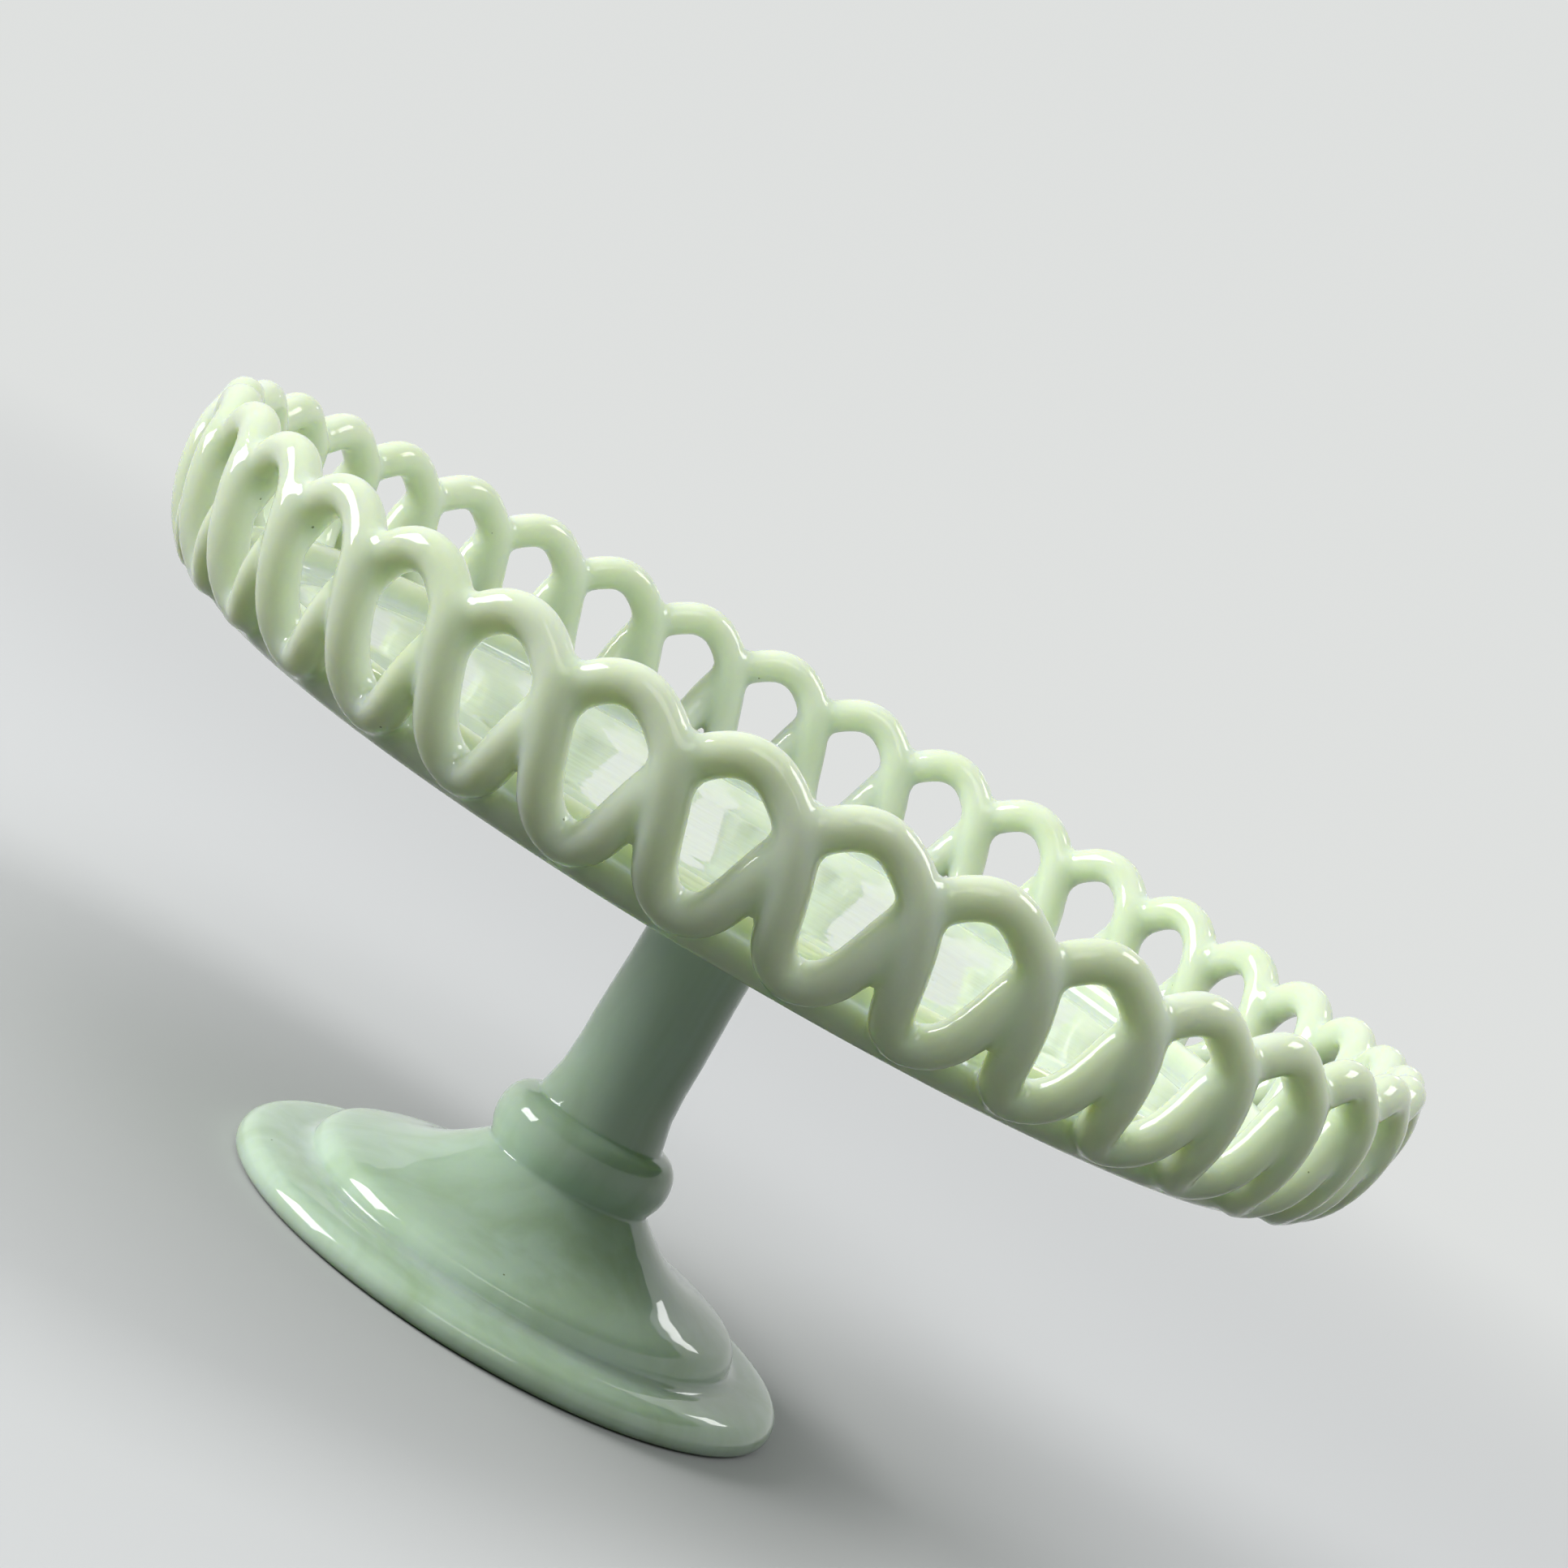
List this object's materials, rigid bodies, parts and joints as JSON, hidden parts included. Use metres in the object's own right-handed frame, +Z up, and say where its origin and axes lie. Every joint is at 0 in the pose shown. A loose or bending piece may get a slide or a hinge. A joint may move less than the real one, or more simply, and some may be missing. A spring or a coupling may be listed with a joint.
{
  "type": "cake stand",
  "caption": "Pedestal cake stand in pressed milk-green glass: flat plate with an open woven-loop edge on a hollow stem, bead and stepped round foot.",
  "frame": {"origin": "centre of the foot on the surface it stands on", "axes": "+Z up along the stem, from the foot to the plate; X and Y level, +Y through the side away from the viewer"},
  "size_m": [0.2918, 0.2918, 0.1415],
  "materials": {
    "milk_glass": "opaque milk-green pressed glass, fire-polished gloss",
    "adhesive": "clear cured adhesive"
  },
  "bodies": {
    "root": {"PLATE": "milk_glass", "PEDESTAL": "milk_glass", "BOND": "adhesive"}
  },
  "joints": []
}
